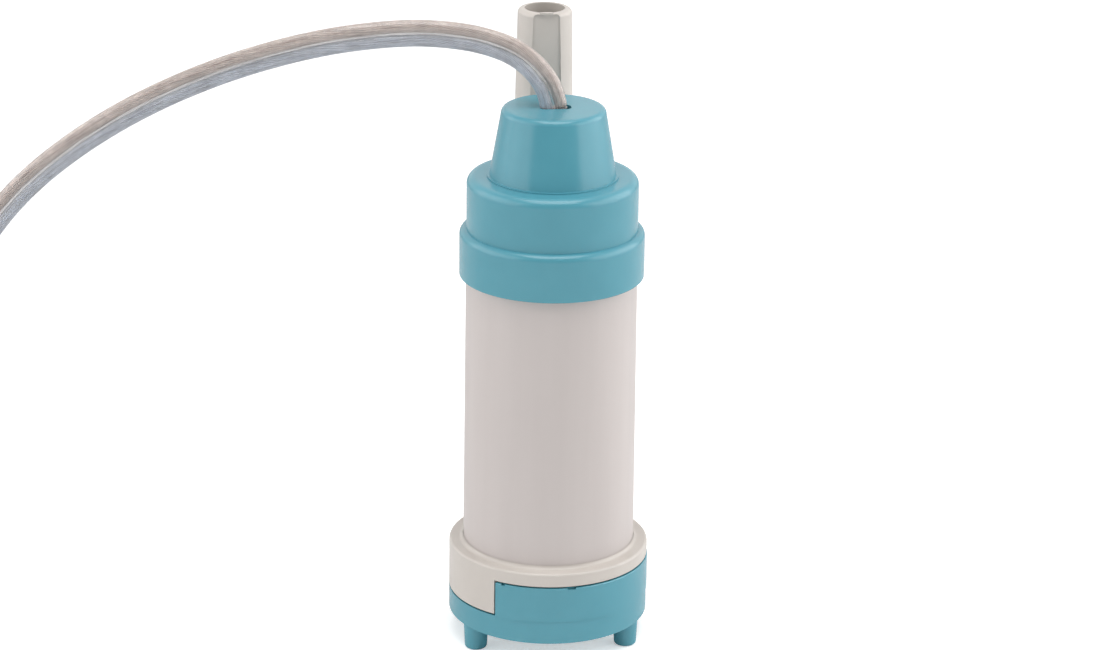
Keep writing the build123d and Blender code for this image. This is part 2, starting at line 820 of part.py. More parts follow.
with BuildPart() as armature_core:
    with BuildSketch(level(core_z)):
        Circle(core_hub_radius)
        with PolarLocations((core_hub_radius / 2 + shoe_middle) / 2, pole_count):
            Rectangle(shoe_middle - core_hub_radius / 2, pole_width)
    extrude(amount=core_length)
    with BuildSketch(level(core_z)):
        for pole in range(pole_count):
            with BuildLine():
                shoe_start = 360 * pole / pole_count - pole_shoe_span / 2
                shoe_arc = CenterArc((0, 0), core_radius, shoe_start, pole_shoe_span)
                Polyline(shoe_arc @ 1, (0, 0), shoe_arc @ 0)
            make_face()
        Circle(shoe_inner, mode=Mode.SUBTRACT)
    extrude(amount=core_length)
    with BuildSketch(level(core_z)):
        Circle(shaft_radius + bearing_gap)
    extrude(amount=core_length, mode=Mode.SUBTRACT)
armature_core.part.label = "armature_core"
export_step(armature_core.part, "parts/armature_core.step")

with BuildPart() as armature_windings:
    with BuildSketch(level(core_z - coil_overhang)):
        with PolarLocations((coil_inner + coil_outer) / 2, pole_count):
            Rectangle(coil_outer - coil_inner, coil_width)
    extrude(amount=core_length + 2 * coil_overhang)
    with BuildSketch(level(core_z - seat_gap)):
        with PolarLocations((coil_inner + coil_outer) / 2, pole_count):
            Rectangle(coil_outer - coil_inner + cut_over, pole_width + 2 * seat_gap)
    extrude(amount=core_length + 2 * seat_gap, mode=Mode.SUBTRACT)
armature_windings.part.label = "armature_windings"
export_step(armature_windings.part, "parts/armature_windings.step")

with BuildPart() as commutator:
    with BuildSketch(level(commutator_z)):
        Circle(commutator_radius)
        Circle(shaft_radius + bearing_gap, mode=Mode.SUBTRACT)
        with PolarLocations(commutator_radius, pole_count):
            Rectangle(2 * commutator_slit_depth, commutator_slit, mode=Mode.SUBTRACT)
    extrude(amount=commutator_length)
commutator.part.label = "commutator"
export_step(commutator.part, "parts/commutator.step")

# Bearings, and the thrust washers beside them
rear_bearing_z = rear_boss_z - rear_boss_cap - bearing_length - seat_gap
front_washer_z = front_bearing_z + bearing_length + seat_gap
rear_washer_z = rear_bearing_z - seat_gap - washer_thickness

with BuildPart() as front_bearing:
    with BuildSketch(level(front_bearing_z)):
        Circle(front_bearing_radius)
        Circle(shaft_radius + bearing_gap, mode=Mode.SUBTRACT)
    extrude(amount=bearing_length)
front_bearing.part.label = "front_bearing"
export_step(front_bearing.part, "parts/front_bearing.step")

with BuildPart() as rear_bearing:
    with BuildSketch(level(rear_bearing_z)):
        Circle(rear_bearing_radius)
        Circle(shaft_radius + bearing_gap, mode=Mode.SUBTRACT)
    extrude(amount=bearing_length)
rear_bearing.part.label = "rear_bearing"
export_step(rear_bearing.part, "parts/rear_bearing.step")

with BuildPart() as thrust_washers:
    for washer_z in (front_washer_z, rear_washer_z):
        with BuildSketch(level(washer_z)):
            Circle(washer_radius)
            Circle(shaft_radius + bearing_gap, mode=Mode.SUBTRACT)
        extrude(amount=washer_thickness)
thrust_washers.part.label = "thrust_washers"
export_step(thrust_washers.part, "parts/thrust_washers.step")

# End bell: closes the can, holds the rear bearing, the terminals and the brush arms
terminal_slot_width = terminal_width + 2 * seat_gap
terminal_slot_thickness = terminal_thickness + 2 * seat_gap

with BuildPart() as motor_end_bell:
    with BuildSketch(level(bell_z)):
        Circle(motor_radius)
    extrude(amount=bell_thickness)
    with BuildSketch(level(plug_z)):
        Circle(can_bore - seat_gap)
    extrude(amount=bell_plug)
    with BuildSketch(level(bell_top_z)):
        Circle(rear_boss_radius)
    extrude(amount=rear_boss_height)
    with BuildSketch(level(plug_z)):
        Circle(bell_hole_radius)
    extrude(amount=rear_bearing_z - seat_gap - plug_z, mode=Mode.SUBTRACT)
    with BuildSketch(level(rear_bearing_z - seat_gap)):
        Circle(rear_bearing_radius + seat_gap)
    extrude(amount=bearing_length + 2 * seat_gap, mode=Mode.SUBTRACT)
    with BuildSketch(level(plug_z)):
        with Locations((-terminal_reach, 0), (terminal_reach, 0)):
            Rectangle(terminal_slot_thickness, terminal_slot_width)
    extrude(amount=bell_plug + bell_thickness, mode=Mode.SUBTRACT)
motor_end_bell.part.label = "motor_end_bell"
export_step(motor_end_bell.part, "parts/motor_end_bell.step")

terminal_top_z = bell_top_z + terminal_top
terminal_z = plug_z - terminal_drop

with BuildPart() as motor_terminals:
    with BuildSketch(level(terminal_z)):
        with Locations((-terminal_reach, 0), (terminal_reach, 0)):
            Rectangle(terminal_thickness, terminal_width)
    extrude(amount=terminal_top_z - terminal_z)
motor_terminals.part.label = "motor_terminals"
export_step(motor_terminals.part, "parts/motor_terminals.step")

# Brush arms are leaf springs on the terminals, and each carries a carbon brush
arm_reach = terminal_reach - terminal_thickness / 2 - arm_thickness / 2
arm_z = plug_z - arm_drop
brush_inner = commutator_radius + brush_gap
brush_outer = arm_reach - arm_thickness / 2
brush_z = arm_z + brush_edge

with BuildPart() as brush_arms:
    with BuildSketch(level(arm_z)):
        with Locations((-arm_reach, 0), (arm_reach, 0)):
            Rectangle(arm_thickness, brush_width)
    extrude(amount=arm_drop - seat_gap)
brush_arms.part.label = "brush_arms"
export_step(brush_arms.part, "parts/brush_arms.step")

with BuildPart() as motor_brushes:
    with BuildSketch(level(brush_z)):
        for side in (-1, 1):
            with Locations((side * (brush_inner + brush_outer) / 2, 0)):
                Rectangle(brush_outer - brush_inner, brush_width)
    extrude(amount=brush_height)
motor_brushes.part.label = "motor_brushes"
export_step(motor_brushes.part, "parts/motor_brushes.step")

# Rubber rings that seat the motor between the head's spigot and the cap's spigot
motor_ring_radius = tube_bore - ring_gap
skirt_bore = motor_radius + seat_gap

with BuildPart() as front_motor_ring:
    with BuildSketch(level(spigot_z)):
        Circle(motor_ring_radius)
        Circle(motor_ring_bore, mode=Mode.SUBTRACT)
    extrude(amount=front_ring_thickness)
    with BuildSketch(level(motor_z)):
        Circle(motor_ring_radius)
        Circle(skirt_bore, mode=Mode.SUBTRACT)
    extrude(amount=ring_skirt)
front_motor_ring.part.label = "front_motor_ring"
export_step(front_motor_ring.part, "parts/front_motor_ring.step")

with BuildPart() as rear_motor_ring:
    with BuildSketch(level(bell_top_z)):
        Circle(motor_ring_radius)
        Circle(motor_ring_bore, mode=Mode.SUBTRACT)
    extrude(amount=rear_ring_thickness)
    with BuildSketch(level(bell_top_z - ring_skirt)):
        Circle(motor_ring_radius)
        Circle(skirt_bore, mode=Mode.SUBTRACT)
    extrude(amount=ring_skirt)
rear_motor_ring.part.label = "rear_motor_ring"
export_step(rear_motor_ring.part, "parts/rear_motor_ring.step")

# Cable seal: a cast plug in the cone, round the flat cable
cable_plug_z = cone_roof_z - seat_gap - cable_plug_height
cable_plug_top = cone_bore_top + seat_gap * cone_draft_share - cable_plug_gap
cable_plug_base = cable_plug_top + cable_plug_height * cone_draft_share
cable_inner_z = exit_z - cable_inside

with BuildPart() as cable_seal_plug:
    with BuildSketch(pump_section):
        with BuildLine():
            Polyline(
                (0, cable_plug_z),
                (cable_plug_base, cable_plug_z),
                (cable_plug_top, cone_roof_z - seat_gap),
                (0, cone_roof_z - seat_gap),
                close=True,
            )
        make_face()
    revolve(axis=pump_axis)
    with BuildSketch(level(cable_plug_z)):
        SlotOverall(cable_width + 2 * seat_gap, cable_thickness + 2 * seat_gap)
    extrude(amount=cable_plug_height + cut_over, mode=Mode.SUBTRACT)
cable_seal_plug.part.label = "cable_seal_plug"
export_step(cable_seal_plug.part, "parts/cable_seal_plug.step")

with BuildPart() as cable_inner:
    with BuildSketch(level(cable_inner_z)):
        SlotOverall(cable_width, cable_thickness)
    extrude(amount=cable_inside)
cable_inner.part.label = "cable_inner"
export_step(cable_inner.part, "parts/cable_inner.step")

# Two leads from the split cable to the motor's terminals
core_reach = cable_thickness / 2

with BuildPart() as lead_positive:
    with BuildLine():
        FilletPolyline(
            (core_reach, axis_y, cable_inner_z),
            (core_reach, axis_y, cable_inner_z - lead_drop),
            (terminal_reach, axis_y, terminal_top_z + lead_drop),
            (terminal_reach, axis_y, terminal_top_z),
            radius=2 * lead_radius,
        )
    with BuildSketch(Plane((core_reach, axis_y, cable_inner_z), z_dir=(0, 0, -1))):
        Circle(lead_radius)
    sweep()
lead_positive.part.label = "lead_positive"
export_step(lead_positive.part, "parts/lead_positive.step")

with BuildPart() as lead_negative:
    with BuildLine():
        FilletPolyline(
            (-core_reach, axis_y, cable_inner_z),
            (-core_reach, axis_y, cable_inner_z - lead_drop),
            (-terminal_reach, axis_y, terminal_top_z + lead_drop),
            (-terminal_reach, axis_y, terminal_top_z),
            radius=2 * lead_radius,
        )
    with BuildSketch(Plane((-core_reach, axis_y, cable_inner_z), z_dir=(0, 0, -1))):
        Circle(lead_radius)
    sweep()
lead_negative.part.label = "lead_negative"
export_step(lead_negative.part, "parts/lead_negative.step")

# Interference suppressor: a disc capacitor with its legs on the two terminals
suppressor_z = rear_boss_z + suppressor_lift + suppressor_radius
leg_span = 2 * (terminal_reach - terminal_thickness / 2)
leg_z = terminal_top_z - suppressor_leg_radius - seat_gap

with BuildPart() as suppressor:
    with BuildSketch(Plane.XZ.offset(-axis_y)):
        with Locations((0, suppressor_z)):
            Circle(suppressor_radius)
    extrude(amount=suppressor_thickness / 2, both=True)
    with BuildSketch(Plane.YZ):
        with Locations((axis_y, leg_z)):
            Circle(suppressor_leg_radius)
    extrude(amount=leg_span / 2, both=True)
suppressor.part.label = "suppressor"
export_step(suppressor.part, "parts/suppressor.step")


# Free cable. Its bends are as large as their runs allow, and the tightest is at the exit.
def bend_radii(points):
    radii = []
    for before, here, after in zip(points, points[1:], points[2:]):
        turn = radians((here - before).get_angle(after - here))
        radii.append(0.45 * min((here - before).length, (after - here).length) / tan(turn / 2))
    return radii


def route_length(points, radii):
    total = sum((b - a).length for a, b in zip(points, points[1:]))
    for before, here, after, radius in zip(points, points[1:], points[2:], radii):
        turn = radians((here - before).get_angle(after - here))
        total += radius * (turn - 2 * tan(turn / 2))
    return total


exit_point = Vector(0, axis_y, exit_z)
cable_radius = cable_width / 2
coil_z = cable_radius + coil_lift
coil_start = Vector(coil_centre_x + cable_width, coil_centre_y + coil_outer_radius, coil_z)
cable_route = [exit_point + Vector(*p) for p in arch_points]
cable_route += [Vector(*p) for p in floor_points]
cable_route += [coil_start]
cable_radii = bend_radii(cable_route)
exit_heading = (cable_route[1] - exit_point).normalized()
lead_point = exit_point - exit_heading * cable_lead

with BuildPart() as supply_cable:
    with BuildLine():
        FilletPolyline(lead_point, *cable_route[1:], radius=cable_radii)
    with BuildSketch(Plane(lead_point, z_dir=exit_heading)):
        Circle(cable_radius)
    sweep()
    with BuildSketch(Plane(exit_point)):
        Rectangle(2 * cable_width, 2 * cable_width)
    extrude(amount=-cable_width, mode=Mode.SUBTRACT)
supply_cable.part.label = "supply_cable"
export_step(supply_cable.part, "parts/supply_cable.step")

tube_length = route_length(cable_route, cable_radii)
section = pi * cable_radius**2
print("cable bend radii", [round(r, 1) for r in cable_radii])
print("cable runs", [round((b - a).length, 1) for a, b in zip(cable_route, cable_route[1:])])
print("cable tube length", round(tube_length, 1))
print("its volume over section times length", round(supply_cable.part.volume / section / tube_length, 4))


# Coil of spare cable: in on the floor, up a layer where the spiral turns back, and out again
def coil_place(turn):
    radius = coil_outer_radius - coil_pitch * (coil_reverse_turn - abs(turn - coil_reverse_turn))
    climb = min(1, max(0, (turn - coil_reverse_turn) * 2 + 0.5))
    height = coil_z + coil_layer * climb * climb * (3 - 2 * climb)
    angle = coil_start_angle + 360 * turn
    return Vector(
        coil_centre_x + radius * cos(radians(angle)), coil_centre_y + radius * sin(radians(angle)), height
    )


def coil_heading(turn):
    ahead = coil_place(turn + turn_step) - coil_place(turn - turn_step)
    return ahead.normalized()


def biarc(start, start_heading, end, end_heading):
    chord = end - start
    both = start_heading + end_heading
    bend = 2 * (1 - start_heading.dot(end_heading))
    across = chord.dot(both)
    reach = (-across + sqrt(across**2 + bend * chord.dot(chord))) / bend
    first = start + start_heading * reach
    second = end - end_heading * reach
    joint = (first + second) / 2
    TangentArc(start, joint, tangent=start_heading)
    TangentArc(joint, end, tangent=(second - first).normalized())


quarter_count = round(coil_turns * 4)
coil_knots = [k / 4 for k in range(quarter_count + 1)]
coil_places = [coil_place(t) for t in coil_knots]
coil_headings = [coil_heading(t) for t in coil_knots]
coil_headings[0] = Vector(-1, 0, 0)
coil_headings[-1] = Vector(0, -1, 0)
coil_end = coil_places[-1] + coil_headings[-1] * cable_width

with BuildPart() as cable_coil:
    with BuildLine() as coil_line:
        Line(coil_start, coil_places[0])
        for k in range(quarter_count):
            biarc(coil_places[k], coil_headings[k], coil_places[k + 1], coil_headings[k + 1])
        Line(coil_places[-1], coil_end)
    with BuildSketch(Plane(coil_start, z_dir=(-1, 0, 0))):
        Circle(cable_radius)
    sweep()
cable_coil.part.label = "cable_coil"
export_step(cable_coil.part, "parts/cable_coil.step")

coil_edges = coil_line.edges().sort_by(coil_line.wire())
coil_length = sum(edge.length for edge in coil_edges)
coil_points = [edge.position_at(k / points_an_arc) for edge in coil_edges for k in range(points_an_arc)]
half_turn = 4 * points_an_arc
distances = [(a - b).length for k, a in enumerate(coil_points) for b in coil_points[k + half_turn :]]
print("coil length", round(coil_length, 1))
print("its volume over section times length", round(cable_coil.part.volume / section / coil_length, 4))
print("least gap between turns", round(min(distances) - cable_width, 2))

# The bare end: the flat cable is slit into its two cores, and each is stripped
leg_start = coil_end
upper_leg = [leg_start + Vector(*p) for p in upper_offsets]
lower_leg = [leg_start + Vector(*p) for p in lower_offsets]

with BuildPart() as cable_legs:
    for route in (upper_leg, lower_leg):
        with BuildLine() as leg_line:
            FilletPolyline(*route, radius=leg_fillet)
        with BuildSketch(Plane(route[0], z_dir=route[1] - route[0])):
            Circle(leg_wire_radius)
        sweep(path=leg_line.line)
cable_legs.part.label = "cable_legs"
export_step(cable_legs.part, "parts/cable_legs.step")

with BuildPart() as bare_tips:
    for route in (upper_leg, lower_leg):
        with BuildSketch(Plane(route[-1], z_dir=route[-1] - route[-2])):
            Circle(bare_wire_radius)
        extrude(amount=bare_wire_length)
bare_tips.part.label = "bare_tips"
export_step(bare_tips.part, "parts/bare_tips.step")

leg_length = sum((b - a).length for a, b in zip(upper_leg, upper_leg[1:]))
print("whole cable", round(tube_length + coil_length + leg_length + bare_wire_length, 1))
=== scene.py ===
import json
from math import cos, degrees, pi, radians, sin
import bpy
from mathutils import Matrix, Vector


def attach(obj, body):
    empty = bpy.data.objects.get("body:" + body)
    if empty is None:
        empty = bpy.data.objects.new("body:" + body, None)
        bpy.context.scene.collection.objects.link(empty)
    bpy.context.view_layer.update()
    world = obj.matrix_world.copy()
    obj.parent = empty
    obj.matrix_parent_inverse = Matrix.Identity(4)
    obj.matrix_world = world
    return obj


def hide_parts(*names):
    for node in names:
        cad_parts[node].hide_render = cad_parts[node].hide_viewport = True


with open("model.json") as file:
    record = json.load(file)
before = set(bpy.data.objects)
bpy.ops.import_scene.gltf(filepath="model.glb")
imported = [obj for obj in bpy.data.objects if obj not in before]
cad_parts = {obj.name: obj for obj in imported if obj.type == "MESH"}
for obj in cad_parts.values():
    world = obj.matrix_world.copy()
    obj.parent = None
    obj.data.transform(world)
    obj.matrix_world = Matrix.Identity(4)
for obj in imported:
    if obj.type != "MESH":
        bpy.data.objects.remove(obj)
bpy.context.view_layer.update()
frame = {"nodes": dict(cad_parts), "record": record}
nodes = frame["nodes"]
mm = 0.001
print("frame loaded:", len(nodes), "nodes")


def linearColour(hexText):
    # sRGB hex to the linear values that the shaders want, by the sRGB standard's own curve
    channels = [int(hexText[i:i + 2], 16) / 255 for i in (1, 3, 5)]
    return [c / 12.92 if c <= 0.04045 else ((c + 0.055) / 1.055) ** 2.4 for c in channels] + [1.0]


def smoothStep(share):
    # 0 up to a share of 0 and 1 from a share of 1, with a soft start and end between them
    share = min(1, max(0, share))
    return share * share * (3 - 2 * share)


def addNode(tree, kind, links=None, **settings):
    # a node with its settings, and with a value or a link for each named or numbered socket
    node = tree.nodes.new(kind)
    for key, value in settings.items():
        setattr(node, key, value)
    for socket, value in (links or {}).items():
        if isinstance(value, bpy.types.NodeSocket):
            tree.links.new(value, node.inputs[socket])
        else:
            node.inputs[socket].default_value = value
    return node


def addObject(name, data):
    made = bpy.data.objects.new(name, data)
    bpy.context.scene.collection.objects.link(made)
    return made


def emptyMaterial(name):
    made = bpy.data.materials.new(name)
    made.use_nodes = True
    made.node_tree.nodes.clear()
    return made


# Camera: it looks down at the pump from the front, a little from the left
cameraView = {
    "azimuth": -5.0,
    "pitch": 19.68,
    "roll": 0.759,
    "distance": 823.0 * mm,
    "sideways": -0.217 * mm,
    "height": 372.4 * mm,
    "lens": 120.894,
    "sensor": 36.0,
    "clipStart": 10.0 * mm,
}
pumpAxisY = -6.4 * mm


def addCamera(values):
    azimuth, pitch, roll = (radians(values[key]) for key in ("azimuth", "pitch", "roll"))
    upright = Vector((0, 0, 1))
    ahead = Vector((-sin(azimuth), cos(azimuth), 0))
    across = Vector((cos(azimuth), sin(azimuth), 0))
    forward = ahead * cos(pitch) - upright * sin(pitch)
    above = ahead * sin(pitch) + upright * cos(pitch)
    right = across * cos(roll) + above * sin(roll)
    top = above * cos(roll) - across * sin(roll)
    overPump = Vector((0, pumpAxisY, values["height"]))
    place = overPump - ahead * values["distance"] + across * values["sideways"]
    camera = addObject("camera", bpy.data.cameras.new("camera"))
    camera.data.lens = values["lens"]
    camera.data.sensor_width = values["sensor"]
    camera.data.sensor_fit = "HORIZONTAL"
    camera.data.clip_start = values["clipStart"]
    turn = Matrix((right, top, -forward)).transposed()
    camera.matrix_world = Matrix.Translation(place) @ turn.to_4x4()
    bpy.context.scene.camera = camera


addCamera(cameraView)
print("camera placed")

# Cable: over the arch, down behind the coil, and the spare length in the coil. Route in millimetres.
cableRoute = {
    "exit": (0.0, -6.4, 131.7),
    "arch": [
        (0.0, 0.0, 0.0), (-0.7, 0.0, 3.4), (-2.7, 0.1, 7.3), (-6.6, 0.3, 11.5), (-12.3, 0.7, 14.7),
        (-21.9, 1.3, 17.1), (-35.9, 2.3, 17.7), (-57.1, 4.0, 14.5), (-81.5, 6.2, 6.5), (-104.2, 8.4, -5.3),
        (-124.0, 11.0, -21.0), (-137.0, 16.0, -39.5), (-142.5, 23.0, -60.5), (-143.0, 31.0, -82.0),
    ],  # from the exit
    "floor": [
        (-143.0, 32.5, 32.0), (-145.0, 36.5, 18.5), (-151.5, 38.5, 8.5), (-162.5, 38.5, 3.25),
        (-175.7, 38.5, 3.25),
    ],
    "coilCentre": (-182.0, 0.0),
    "coilRadius": 38.5,
    "coilPitch": 6.8,
    "coilLayer": 6.8,
    "coilHeight": 3.25,
    "coilTurns": 3.25,
    "coilReverse": 1.75,  # after so many turns the spiral comes out again, a layer higher
    "coilClimb": 0.5,  # and this much of a turn takes it up
    "coilStart": 90,
    "pointsPerTurn": 16,
    "coilEnd": (-218.8, -6.3, 10.05),
}
cableBuild = {
    "width": 6.3,
    "thickness": 3.1,
    "waist": 1.5,
    "lobeAngles": [0, 22, 44, 66, 88, 110, 132],
    "curveSteps": 10,
    "uprightFrom": 120.0,
    "uprightTo": 270.0,
    "length": 950.0,
}


def coilPoints(values):
    steps = round(values["coilTurns"] * values["pointsPerTurn"])
    x, y = values["coilCentre"]
    for step in range(steps + 1):
        turn = step / values["pointsPerTurn"]
        fromReverse = turn - values["coilReverse"]
        radius = values["coilRadius"] - values["coilPitch"] * (values["coilReverse"] - abs(fromReverse))
        climb = smoothStep(0.5 + fromReverse / values["coilClimb"])
        height = values["coilHeight"] + values["coilLayer"] * climb
        angle = radians(values["coilStart"] + 360 * turn)
        yield (x + radius * cos(angle), y + radius * sin(angle), height)


def routePolyline(points, steps):
    # the smooth line of a quadratic NURBS spline with these control points
    curve = bpy.data.curves.new("route", "CURVE")
    curve.dimensions = "3D"
    curve.resolution_u = steps
    spline = curve.splines.new("NURBS")
    spline.points.add(len(points) - 1)
    for place, point in zip(points, spline.points):
        point.co = (*(Vector(place) * mm), 1)
    spline.order_u = 3
    spline.use_endpoint_u = True
    holder = addObject("route", curve)
    bpy.context.view_layer.update()
    line = bpy.data.meshes.new_from_object(holder)
    places = [vertex.co.copy() for vertex in line.vertices]
    bpy.data.objects.remove(holder)
    bpy.data.meshes.remove(line)
    return places


def headings(places):
    # which way the line runs at each of its points
    ahead = places[1:] + [places[-1] * 2 - places[-2]]
    behind = [places[0] * 2 - places[1]] + places[:-1]
    return [(b - a).normalized() for a, b in zip(behind, ahead)]


def cableFrames(places, values):
    # the wide direction at each point: carried along without twist, and brought upright for the coil
    tangents = headings(places)
    wide = Vector((1, 0, 0))
    carried, travelled = [], [0.0]
    for k, tangent in enumerate(tangents):
        if k:
            wide = tangents[k - 1].rotation_difference(tangent) @ wide
            travelled.append(travelled[-1] + (places[k] - places[k - 1]).length)
        wide = (wide - tangent * wide.dot(tangent)).normalized()
        carried.append(wide)
    start, end = values["uprightFrom"] * mm, values["uprightTo"] * mm
    settled = next(k for k, s in enumerate(travelled) if s > end)
    tangent = tangents[settled]
    upright = Vector((0, 0, 1)) - tangent * tangent.z
    across = tangent.cross(carried[settled])
    untwist = Vector((upright.dot(carried[settled]), upright.dot(across))).angle_signed(Vector((1, 0)))
    frames = []
    for tangent, wide, s in zip(tangents, carried, travelled):
        turned = Matrix.Rotation(untwist * smoothStep((s - start) / (end - start)), 3, tangent) @ wide
        frames.append((turned, tangent.cross(turned)))
    print("cable brought upright by", round(degrees(untwist), 1), "degrees")
    return frames, travelled[-1]


def sheathSection(values):
    # two round lobes with a web between, as (wide, thin) offsets in millimetres
    lobe = values["thickness"] / 2
    reach = values["width"] / 2 - lobe
    upper = [(reach + lobe * cos(radians(a)), lobe * sin(radians(a))) for a in values["lobeAngles"]]
    half = upper + [(0, values["waist"] / 2)] + [(-x, y) for x, y in reversed(upper)]
    return half + [(x, -y) for x, y in reversed(half[1:-1])]


def sweptMesh(name, places, frames, section):
    # a closed skin round the path, with the section's offsets laid on each frame
    corners = []
    for place, (wide, thin) in zip(places, frames):
        corners += [place + (wide * x + thin * y) * mm for x, y in section]
    count = len(section)
    sides = []
    for ring in range(len(places) - 1):
        for k in range(count):
            a, b = ring * count + k, ring * count + (k + 1) % count
            sides.append((a, b, b + count, a + count))
    last = (len(places) - 1) * count
    ends = [tuple(reversed(range(count))), tuple(range(last, last + count))]
    skin = bpy.data.meshes.new(name)
    skin.from_pydata(corners, [], sides + ends)
    skin.update()
    skin.polygons.foreach_set("use_smooth", [True] * len(sides) + [False] * len(ends))
    # UV map in metres: along the path, and round the section
    along = [0.0]
    for here, after in zip(places, places[1:]):
        along.append(along[-1] + (after - here).length)
    outline = zip(section, section[1:] + section[:1])
    around = sum((Vector(b) - Vector(a)).length for a, b in outline) * mm / count
    laid = skin.uv_layers.new(name="alongAndAround")
    for face in skin.polygons:
        for loop, corner in zip(face.loop_indices, face.vertices):
            ring, k = divmod(corner, count)
            wrapped = count if k == 0 and face.index % count == count - 1 else k
            laid.data[loop].uv = (along[ring], around * wrapped)
    return skin


cableControls = [Vector(cableRoute["exit"]) + Vector(p) for p in cableRoute["arch"]]
cableControls += cableRoute["floor"] + list(coilPoints(cableRoute)) + [cableRoute["coilEnd"]]
cablePlaces = routePolyline(cableControls, cableBuild["curveSteps"])
cableWidths, cableLength = cableFrames(cablePlaces, cableBuild)
sheathSkin = sweptMesh("cable_sheath", cablePlaces, cableWidths, sheathSection(cableBuild))
cableSheath = addObject("cable_sheath", sheathSkin)
print("cable line", round(cableLength / mm, 1), "mm with", len(cablePlaces), "points")

# Slit end: the two cores part, each still in its own insulation, and the strands end bare
slitEnd = {
    "upper": [(0.0, 0.0, 1.6), (0.0, -5.0, 1.6), (-2.0, -14.0, -0.5), (-5.0, -24.5, -5.0)],
    "lower": [(0.0, 0.0, -1.6), (0.0, -5.0, -1.6), (-0.8, -15.0, -4.8), (-1.8, -25.0, -7.5)],
    "radius": 1.5,
    "sides": 20,
    "curveSteps": 8,
    "bare": 6.0,
}


def legPlaces(offsets, values):
    return routePolyline([Vector(cableRoute["coilEnd"]) + Vector(p) for p in offsets], values["curveSteps"])


def legSkin(name, places, values):
    sides, radius = values["sides"], values["radius"]
    section = [(radius * cos(2 * pi * k / sides), radius * sin(2 * pi * k / sides)) for k in range(sides)]
    frames = []
    for tangent in headings(places):
        wide = (Vector((0, 0, 1)) - tangent * tangent.z).normalized()
        frames.append((wide, tangent.cross(wide)))
    return sweptMesh(name, places, frames, section)


upperLeg = legPlaces(slitEnd["upper"], slitEnd)
lowerLeg = legPlaces(slitEnd["lower"], slitEnd)
cableLegs = [
    addObject("cable_leg_upper", legSkin("cable_leg_upper", upperLeg, slitEnd)),
    addObject("cable_leg_lower", legSkin("cable_leg_lower", lowerLeg, slitEnd)),
]
print("slit end made:", len(cableLegs), "legs")

# Cores: eighteen twisted strands each, seen through the clear sheath
coreBuild = {
    "offset": 1.56,
    "coreRadius": 1.2,
    "strandRadius": 0.18,
    "strandCount": 18,
    "strandSides": 5,
    "lay": 45.0,
    "step": 2.0,
}


def corePath(side, leg, values):
    # one side of the flat cable, its own leg and the bare end
    places = [p + wide * side * values["offset"] * mm for p, (wide, _) in zip(cablePlaces, cableWidths)]
    ahead = ((leg[-1] - leg[-2]) * Vector((1, 1, 0))).normalized()  # the bare end lies level
    return places + leg[1:] + [leg[-1] + ahead * slitEnd["bare"] * mm]


def strandSizes(values):
    return {
        "Core Radius": values["coreRadius"] * mm,
        "Strand Radius": values["strandRadius"] * mm,
        "Lay Length": values["lay"] * mm,
        "Step Length": values["step"] * mm,
        "Strand Count": values["strandCount"],
        "Strand Sides": values["strandSides"],
    }


def strandTree(sizes):
    tree = bpy.data.node_groups.new("twistedStrands", "GeometryNodeTree")
    tree.interface.new_socket("Path", in_out="INPUT", socket_type="NodeSocketGeometry")
    for label, size in sizes.items():
        kind = "NodeSocketInt" if isinstance(size, int) else "NodeSocketFloat"
        tree.interface.new_socket(label, in_out="INPUT", socket_type=kind).default_value = size
    tree.interface.new_socket("Finish", in_out="INPUT", socket_type="NodeSocketMaterial")
    tree.interface.new_socket("Geometry", in_out="OUTPUT", socket_type="NodeSocketGeometry")
    given = addNode(tree, "NodeGroupInput").outputs
    line = addNode(tree, "GeometryNodeMeshToCurve", {"Mesh": given["Path"]})
    even = addNode(tree, "GeometryNodeResampleCurve",
                   {"Curve": line.outputs[0], "Length": given["Step Length"]}, mode="LENGTH")
    along = addNode(tree, "GeometryNodeSplineParameter")
    turns = addNode(tree, "ShaderNodeMath", {0: along.outputs["Length"], 1: given["Lay Length"]},
                    operation="DIVIDE")
    twist = addNode(tree, "ShaderNodeMath", {0: turns.outputs[0], 1: 2 * pi}, operation="MULTIPLY")
    laid = addNode(tree, "GeometryNodeSetCurveTilt", {"Curve": even.outputs[0], "Tilt": twist.outputs[0]})
    ringRadius = addNode(tree, "ShaderNodeMath", {0: given["Core Radius"], 1: given["Strand Radius"]},
                         operation="SUBTRACT")
    ring = addNode(tree, "GeometryNodeCurvePrimitiveCircle",
                   {"Resolution": given["Strand Count"], "Radius": ringRadius.outputs[0]})
    wire = addNode(tree, "GeometryNodeCurvePrimitiveCircle",
                   {"Resolution": given["Strand Sides"], "Radius": given["Strand Radius"]})
    bundle = addNode(tree, "GeometryNodeInstanceOnPoints",
                     {"Points": ring.outputs[0], "Instance": wire.outputs[0]})
    profile = addNode(tree, "GeometryNodeRealizeInstances", {0: bundle.outputs[0]})
    swept = addNode(tree, "GeometryNodeCurveToMesh",
                    {"Curve": laid.outputs[0], "Profile Curve": profile.outputs[0], "Fill Caps": True})
    smooth = addNode(tree, "GeometryNodeSetShadeSmooth", {0: swept.outputs[0]})
    real = addNode(tree, "GeometryNodeRealizeInstances", {0: smooth.outputs[0]})
    dressed = addNode(tree, "GeometryNodeSetMaterial", {0: real.outputs[0], "Material": given["Finish"]})
    addNode(tree, "NodeGroupOutput", {0: dressed.outputs[0]})
    return tree


